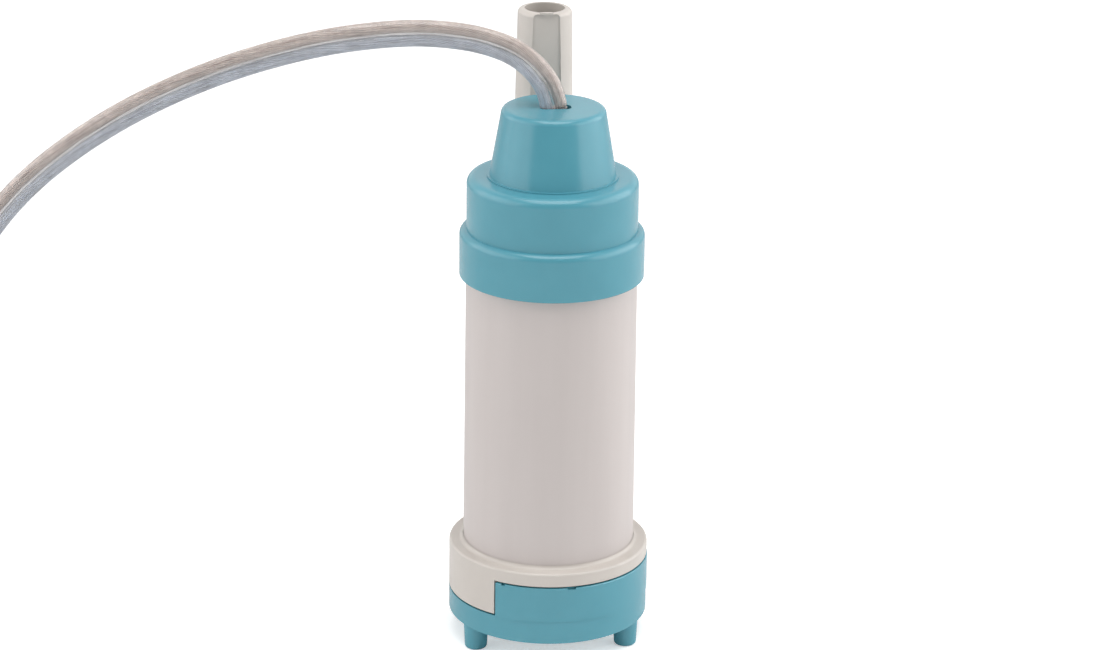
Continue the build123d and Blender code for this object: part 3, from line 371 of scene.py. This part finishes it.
def bakedNodes(name, source, tree, inputs):
    # the tree's result on the source mesh, as one plain mesh with no modifier left
    holder = addObject(name + "_source", source)
    modifier = holder.modifiers.new("shape", "NODES")
    modifier.node_group = tree
    identifiers = {item.name: item.identifier for item in tree.interface.items_tree if item.in_out == "INPUT"}
    for label, value in inputs.items():
        modifier[identifiers[label]] = value
    bpy.context.view_layer.update()
    baked = bpy.data.meshes.new_from_object(holder.evaluated_get(bpy.context.evaluated_depsgraph_get()))
    baked.name = name
    holder.modifiers.remove(modifier)
    bpy.data.objects.remove(holder)
    return addObject(name, baked)


def strandedCore(name, path, finish, tree, sizes):
    line = bpy.data.meshes.new(name + "_path")
    line.from_pydata(path, [(k, k + 1) for k in range(len(path) - 1)], [])
    core = bakedNodes(name, line, tree, {**sizes, "Finish": finish})
    print(name, len(core.data.polygons), "faces")
    return core


# Finishes: how fine each pattern is and how much of it shows is alike for all but the clear sheath
patternBuild = {
    "toneDetail": 4.0,
    "glossDetail": 3.0,
    "grainDetail": 2.0,
    "contrast": (0.3, 0.7),
}


def perMetre(size):
    # how often a pattern of that size in millimetres comes in a metre
    return 1 / (size * mm)


def surfaceFinish(values):
    # the common build of a finish: a slow change of tone, an uneven gloss and a fine relief
    finish = emptyMaterial(values["name"])
    tree = finish.node_tree
    low, high = patternBuild["contrast"]
    where = addNode(tree, "ShaderNodeTexCoord").outputs["Object"]
    stretched = addNode(tree, "ShaderNodeMapping", {
        "Vector": where, "Scale": values.get("stretch", (1, 1, 1)),
    })
    tone = addNode(tree, "ShaderNodeTexNoise", {
        "Vector": stretched.outputs[0], "Scale": perMetre(values["toneMm"]),
        "Detail": patternBuild["toneDetail"],
    })
    toneRange = addNode(tree, "ShaderNodeMapRange", {0: tone.outputs[0], 1: low, 2: high})
    colour = addNode(tree, "ShaderNodeMix", {
        0: toneRange.outputs[0], 6: linearColour(values["colour"]), 7: linearColour(values["shade"]),
    }, data_type="RGBA")
    gloss = addNode(tree, "ShaderNodeTexNoise", {
        "Vector": stretched.outputs[0], "Scale": perMetre(values["glossMm"]),
        "Detail": patternBuild["glossDetail"],
    })
    smoothest, roughest = values["roughness"]
    roughness = addNode(tree, "ShaderNodeMapRange", {
        0: gloss.outputs[0], 1: low, 2: high, 3: smoothest, 4: roughest,
    })
    grain = addNode(tree, "ShaderNodeTexNoise", {
        "Vector": stretched.outputs[0], "Scale": perMetre(values["grainMm"]),
        "Detail": patternBuild["grainDetail"],
    })
    relief = addNode(tree, "ShaderNodeBump", {
        "Height": grain.outputs[0], "Distance": values["grainDepthMm"] * mm,
        "Strength": values["grainStrength"],
    })
    shader = addNode(tree, "ShaderNodeBsdfPrincipled", {
        "Base Color": colour.outputs[2], "Roughness": roughness.outputs[0], "Normal": relief.outputs[0],
        **values.get("shader", {}),
    })
    addNode(tree, "ShaderNodeOutputMaterial", {"Surface": shader.outputs[0]})
    return finish


# Moulded ABS, coloured through: satin, with a slightly uneven gloss from the tool's surface
tealAbs = {
    "name": "mouldedTealAbs", "colour": "#559bab", "shade": "#5196a6", "toneMm": 14,
    "roughness": (0.20, 0.27), "glossMm": 6, "grainMm": 0.5, "grainDepthMm": 0.02, "grainStrength": 0.25,
    "shader": {"IOR": 1.53},
}
# The same plastic in cream, from a tool with a slightly duller surface
creamAbs = {
    "name": "mouldedCreamAbs", "colour": "#cec7c0", "shade": "#c8c1ba", "toneMm": 12,
    "roughness": (0.30, 0.38), "glossMm": 6, "grainMm": 0.5, "grainDepthMm": 0.02, "grainStrength": 0.25,
    "shader": {"IOR": 1.53},
}
# Extruded PVC tube: soft gloss, and the die leaves faint lines along it
whiteTube = {
    "name": "extrudedWhitePvc", "colour": "#cbc3c0", "shade": "#c5bdba", "toneMm": 9, "stretch": (1, 1, 0.06),
    "roughness": (0.40, 0.48), "glossMm": 3, "grainMm": 0.8, "grainDepthMm": 0.02, "grainStrength": 0.2,
    "shader": {"IOR": 1.54},
}
# Moulded acetal: pale grey and a little waxy
greyAcetal = {
    "name": "mouldedGreyAcetal", "colour": "#c4c5c4", "shade": "#bbbcbc", "toneMm": 8,
    "roughness": (0.38, 0.5), "glossMm": 4, "grainMm": 0.4, "grainDepthMm": 0.02, "grainStrength": 0.3,
    "shader": {"IOR": 1.48},
}
# Moulded nitrile rubber: matt and nearly black
blackNitrile = {
    "name": "mouldedBlackNitrile", "colour": "#2a2a2b", "shade": "#232324", "toneMm": 5,
    "roughness": (0.62, 0.75), "glossMm": 2, "grainMm": 0.25, "grainDepthMm": 0.03, "grainStrength": 0.4,
    "shader": {"IOR": 1.52},
}
# Ground stainless steel: bright, with fine lines round the shaft
groundStainless = {
    "name": "groundStainlessSteel", "colour": "#c9c8c6", "shade": "#bcbbb9", "toneMm": 2,
    "stretch": (1, 1, 12),
    "roughness": (0.22, 0.36), "glossMm": 1, "grainMm": 0.3, "grainDepthMm": 0.01, "grainStrength": 0.4,
    "shader": {"Metallic": 1.0},
}
# Deep-drawn steel with zinc on it: cool grey, with soft draw marks along the can
zincPlate = {
    "name": "zincPlatedSteel", "colour": "#c3c6c8", "shade": "#b2b6b8", "toneMm": 5, "stretch": (1, 1, 0.3),
    "roughness": (0.28, 0.42), "glossMm": 2.5, "grainMm": 0.5, "grainDepthMm": 0.01, "grainStrength": 0.4,
    "shader": {"Metallic": 1.0},
}
# Stamped sheets in a stack: dark steel with a fine line round it at each half millimetre
coreSteel = {
    "name": "stampedLaminations", "colour": "#8f8f90", "shade": "#6e6e70", "toneMm": 4,
    "stretch": (0.05, 0.05, 8),
    "roughness": (0.35, 0.55), "glossMm": 4, "grainMm": 4, "grainDepthMm": 0.05, "grainStrength": 0.8,
    "shader": {"Metallic": 1.0},
}
# Sintered ferrite: dull, dark grey and finely grained
ferrite = {
    "name": "sinteredFerrite", "colour": "#3c3c3f", "shade": "#333336", "toneMm": 3,
    "roughness": (0.5, 0.7), "glossMm": 1.5, "grainMm": 0.3, "grainDepthMm": 0.03, "grainStrength": 0.5,
    "shader": {"IOR": 2.2},
}
# Pressed carbon: nearly black, with paler specks
brushCarbon = {
    "name": "pressedCarbon", "colour": "#2c2b2b", "shade": "#3a3938", "toneMm": 0.8,
    "roughness": (0.4, 0.6), "glossMm": 0.6, "grainMm": 0.2, "grainDepthMm": 0.02, "grainStrength": 0.5,
    "shader": {"IOR": 1.9},
}
# Copper wire under clear enamel: red-brown and glossy, with its turns as half-millimetre ridges
enamelledWire = {
    "name": "enamelledCopperWire", "colour": "#b4552b", "shade": "#8a3c1c", "toneMm": 5,
    "stretch": (10, 10, 0.4),
    "roughness": (0.2, 0.32), "glossMm": 4, "grainMm": 5, "grainDepthMm": 0.2, "grainStrength": 0.9,
    "shader": {"Metallic": 0.85, "Coat Weight": 0.6},
}
# Turned copper: fine tool lines round the commutator
turnedCopper = {
    "name": "turnedCopper", "colour": "#d58c66", "shade": "#c67b56", "toneMm": 2, "stretch": (0.2, 0.2, 8),
    "roughness": (0.22, 0.35), "glossMm": 2, "grainMm": 2, "grainDepthMm": 0.02, "grainStrength": 0.5,
    "shader": {"Metallic": 1.0},
}
# Sintered bronze: mottled and slightly open, with a soft shine
sinteredBronze = {
    "name": "sinteredBronze", "colour": "#b48a55", "shade": "#9c7444", "toneMm": 1.2,
    "roughness": (0.4, 0.55), "glossMm": 0.8, "grainMm": 0.25, "grainDepthMm": 0.03, "grainStrength": 0.6,
    "shader": {"Metallic": 1.0},
}
# Moulded nylon: black with a soft sheen
blackNylon = {
    "name": "mouldedBlackNylon", "colour": "#2b2b2c", "shade": "#252526", "toneMm": 6,
    "roughness": (0.42, 0.54), "glossMm": 3, "grainMm": 0.4, "grainDepthMm": 0.02, "grainStrength": 0.35,
    "shader": {"IOR": 1.53},
}
# Stamped brass sheet: warm and fairly smooth
stampedBrass = {
    "name": "stampedBrass", "colour": "#d4b06a", "shade": "#c39e58", "toneMm": 3,
    "roughness": (0.25, 0.38), "glossMm": 1.5, "grainMm": 0.4, "grainDepthMm": 0.01, "grainStrength": 0.4,
    "shader": {"Metallic": 1.0},
}
# Extruded PVC insulation: an even colour and a satin gloss
redPvc = {
    "name": "extrudedRedPvc", "colour": "#b8312c", "shade": "#a92925", "toneMm": 6,
    "roughness": (0.32, 0.42), "glossMm": 3, "grainMm": 0.5, "grainDepthMm": 0.01, "grainStrength": 0.3,
    "shader": {"IOR": 1.53},
}
blackPvc = {**redPvc, "name": "extrudedBlackPvc", "colour": "#2c2c2d", "shade": "#262627"}
# Ceramic disc dipped in lacquer: ochre and glossy, with a slightly uneven skin
dippedCeramic = {
    "name": "dippedCeramicDisc", "colour": "#c98a3f", "shade": "#bd7d35", "toneMm": 2,
    "roughness": (0.22, 0.34), "glossMm": 1.5, "grainMm": 0.8, "grainDepthMm": 0.03, "grainStrength": 0.4,
    "shader": {"IOR": 1.6},
}
# Bare copper strands: pale under the milky sheath, and a little warmer than the tinned ones
bareCopper = {
    "name": "drawnBareCopper", "colour": "#f0dfd4", "shade": "#d6c2b5", "toneMm": 1.5,
    "roughness": (0.45, 0.6), "glossMm": 1, "grainMm": 0.4, "grainDepthMm": 0.01, "grainStrength": 0.3,
    "shader": {"Metallic": 0.7},
}
# Tinned copper strands: cool and silvery
tinnedCopper = {
    "name": "tinnedCopperWire", "colour": "#dce7f5", "shade": "#c3d0e2", "toneMm": 1.5,
    "roughness": (0.45, 0.6), "glossMm": 1, "grainMm": 0.4, "grainDepthMm": 0.01, "grainStrength": 0.3,
    "shader": {"Metallic": 0.7},
}
# Plasticised PVC without pigment: it lets the strands show, looks a little milky and is streaked lengthwise
clearPvc = {
    "name": "extrudedClearPvc", "colour": "#fbfafa", "shade": "#bdb8b7",
    "streakLongMm": 8, "streakWideMm": 0.28, "streakDetail": 5.0, "streakContrast": (0.42, 0.68),
    "roughness": 0.2, "grainDepthMm": 0.05, "grainStrength": 0.3,
    "shader": {"IOR": 1.53, "Transmission Weight": 0.74},
}


def streakedFinish(values):
    # the streaks follow the cable on its UV map
    finish = emptyMaterial(values["name"])
    tree = finish.node_tree
    where = addNode(tree, "ShaderNodeTexCoord").outputs["UV"]
    stretched = addNode(tree, "ShaderNodeMapping", {
        "Vector": where, "Scale": (perMetre(values["streakLongMm"]), perMetre(values["streakWideMm"]), 1),
    })
    streak = addNode(tree, "ShaderNodeTexNoise", {
        "Vector": stretched.outputs[0], "Scale": 1.0, "Detail": values["streakDetail"],
    })
    low, high = values["streakContrast"]
    depth = addNode(tree, "ShaderNodeMapRange", {0: streak.outputs[0], 1: low, 2: high})
    colour = addNode(tree, "ShaderNodeMix", {
        0: depth.outputs[0], 6: linearColour(values["colour"]), 7: linearColour(values["shade"]),
    }, data_type="RGBA")
    relief = addNode(tree, "ShaderNodeBump", {
        "Height": streak.outputs[0], "Distance": values["grainDepthMm"] * mm,
        "Strength": values["grainStrength"],
    })
    shader = addNode(tree, "ShaderNodeBsdfPrincipled", {
        "Base Color": colour.outputs[2], "Roughness": values["roughness"], "Normal": relief.outputs[0],
        **values["shader"],
    })
    addNode(tree, "ShaderNodeOutputMaterial", {"Surface": shader.outputs[0]})
    return finish


slotFinishes = {
    "teal_plastic": tealAbs, "cream_plastic": creamAbs, "white_plastic": whiteTube,
    "grey_plastic": greyAcetal, "black_rubber": blackNitrile, "stainless_steel": groundStainless,
    "zinc_steel": zincPlate, "core_steel": coreSteel, "ferrite": ferrite, "carbon": brushCarbon,
    "copper_wire": enamelledWire, "copper": turnedCopper, "bronze": sinteredBronze,
    "black_nylon": blackNylon, "brass": stampedBrass, "red_insulation": redPvc,
    "black_insulation": blackPvc, "ceramic": dippedCeramic, "tinned_copper": tinnedCopper,
}
finishes = {slot: surfaceFinish(values) for slot, values in slotFinishes.items()}
finishes["clear_pvc"] = streakedFinish(clearPvc)
copperFinish = surfaceFinish(bareCopper)
print("finishes made:", len(finishes) + 1)

coreSizes = strandSizes(coreBuild)
strands = strandTree(coreSizes)
copperPath = corePath(1, upperLeg, coreBuild)
tinnedPath = corePath(-1, lowerLeg, coreBuild)
copperCore = strandedCore("copper_core", copperPath, copperFinish, strands, coreSizes)
tinnedCore = strandedCore("tinned_core", tinnedPath, finishes["tinned_copper"], strands, coreSizes)

for piece in (cableSheath, *cableLegs):
    piece.data.materials.append(finishes["clear_pvc"])
for subpart in frame["record"]["subparts"]:
    node = nodes[subpart["node"]]
    node.data.materials.clear()
    node.data.materials.append(finishes[subpart["material_slot"]])
print("finishes put on:", len(nodes), "nodes")

# Floor, lamps and white surroundings
studio = {
    "white": "#ffffff",
    "floorColour": "#f6f6f6",
    "floorRadius": 3.0,
    "floorGlow": 0.45,  # seen by the camera alone, and rising to full white past the object
    "floorWhitening": (0.45, 1.3),
    "worldLight": 0.2,
    "tentFront": (-0.3, 0.15),  # open towards the camera: where towards +Y the tent's white starts and ends
    "tentFrontGlow": 0.06,
    "lamps": {
        "leftBox": {"place": (-0.8, -0.08, 0.38), "size": (1.3, 0.75), "power": 5.1},
        "rightBox": {"place": (0.8, -0.1, 0.38), "size": (1.3, 0.75), "power": 6.6},
        "topBox": {"place": (0.0, -0.2, 0.95), "size": (0.7, 0.7), "power": 5.5},
    },
    "aim": (0.0, 0.0, 0.08),
}


def addLamp(name, values, aim):
    lamp = addObject(name, bpy.data.lights.new(name, "AREA"))
    lamp.data.shape = "RECTANGLE"
    lamp.data.size, lamp.data.size_y = values["size"]
    lamp.data.energy = values["power"]
    place = Vector(values["place"])
    lamp.location = place
    lamp.rotation_euler = (Vector(aim) - place).to_track_quat("-Z", "Y").to_euler()


def addFloor(values):
    half = values["floorRadius"]
    corners = [(-half, -half, 0), (half, -half, 0), (half, half, 0), (-half, half, 0)]
    sheet = bpy.data.meshes.new("floor")
    sheet.from_pydata(corners, [], [(0, 1, 2, 3)])
    floor = addObject("floor", sheet)
    # Matt white card: no gloss, so that nothing mirrors in it
    paint = emptyMaterial("mattWhiteBackdrop")
    tree = paint.node_tree
    seen = addNode(tree, "ShaderNodeLightPath").outputs["Is Camera Ray"]
    where = addNode(tree, "ShaderNodeTexCoord").outputs["Object"]
    reach = addNode(tree, "ShaderNodeVectorMath", {0: where}, operation="LENGTH").outputs["Value"]
    near, far = values["floorWhitening"]
    rise = addNode(tree, "ShaderNodeMapRange", {0: reach, 1: near, 2: far, 3: values["floorGlow"], 4: 1.0})
    glow = addNode(tree, "ShaderNodeMath", {0: seen, 1: rise.outputs[0]}, operation="MULTIPLY")
    shader = addNode(tree, "ShaderNodeBsdfPrincipled", {
        "Base Color": linearColour(values["floorColour"]), "Roughness": 1.0, "Specular IOR Level": 0.0,
        "Emission Color": linearColour(values["white"]), "Emission Strength": glow.outputs[0],
    })
    below = addNode(tree, "ShaderNodeNewGeometry").outputs["Backfacing"]  # from below, the floor is clear
    surface = addNode(tree, "ShaderNodeMixShader", {
        0: below, 1: shader.outputs[0], 2: addNode(tree, "ShaderNodeBsdfTransparent").outputs[0],
    })
    addNode(tree, "ShaderNodeOutputMaterial", {"Surface": surface.outputs[0]})
    sheet.materials.append(paint)


def addSurroundings(values):
    # the camera and clear pieces see white, glossy ones the tent, and the rest gets an even light
    world = bpy.data.worlds.new("whiteTent")
    bpy.context.scene.world = world
    world.use_nodes = True
    tree = world.node_tree
    tree.nodes.clear()
    ray = addNode(tree, "ShaderNodeLightPath").outputs
    seen = addNode(tree, "ShaderNodeMath", {0: ray["Is Camera Ray"], 1: ray["Is Transmission Ray"]},
                   operation="MAXIMUM")
    towards = addNode(tree, "ShaderNodeTexCoord").outputs["Generated"]
    direction = addNode(tree, "ShaderNodeSeparateXYZ", {0: towards})
    whiteFrom, whiteTo = values["tentFront"]
    tent = addNode(tree, "ShaderNodeMapRange", {
        0: direction.outputs["Y"], 1: whiteFrom, 2: whiteTo, 3: values["tentFrontGlow"], 4: 1.0,
    })
    mirrored = addNode(tree, "ShaderNodeMath", {0: ray["Is Glossy Ray"], 1: tent.outputs[0]},
                       operation="MULTIPLY")
    shown = addNode(tree, "ShaderNodeMath", {0: seen.outputs[0], 1: mirrored.outputs[0]}, operation="MAXIMUM")
    strength = addNode(tree, "ShaderNodeMapRange", {0: shown.outputs[0], 3: values["worldLight"], 4: 1.0})
    light = addNode(tree, "ShaderNodeBackground", {
        "Color": linearColour(values["white"]), "Strength": strength.outputs[0],
    })
    addNode(tree, "ShaderNodeOutputWorld", {"Surface": light.outputs[0]})


for lampName, lampValues in studio["lamps"].items():
    addLamp(lampName, lampValues, studio["aim"])
addFloor(studio)
addSurroundings(studio)
bpy.context.scene.view_settings.view_transform = "Standard"
print("studio ready")

# Riding: the cable pieces ride with the pump, and the CAD nodes they stand in for are hidden
for piece in (cableSheath, copperCore, tinnedCore, *cableLegs):
    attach(piece, "pump")
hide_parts("supply_cable", "cable_coil")
for piece in cableLegs:
    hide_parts("cable_legs")
for piece in (copperCore, tinnedCore):
    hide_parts("bare_tips")
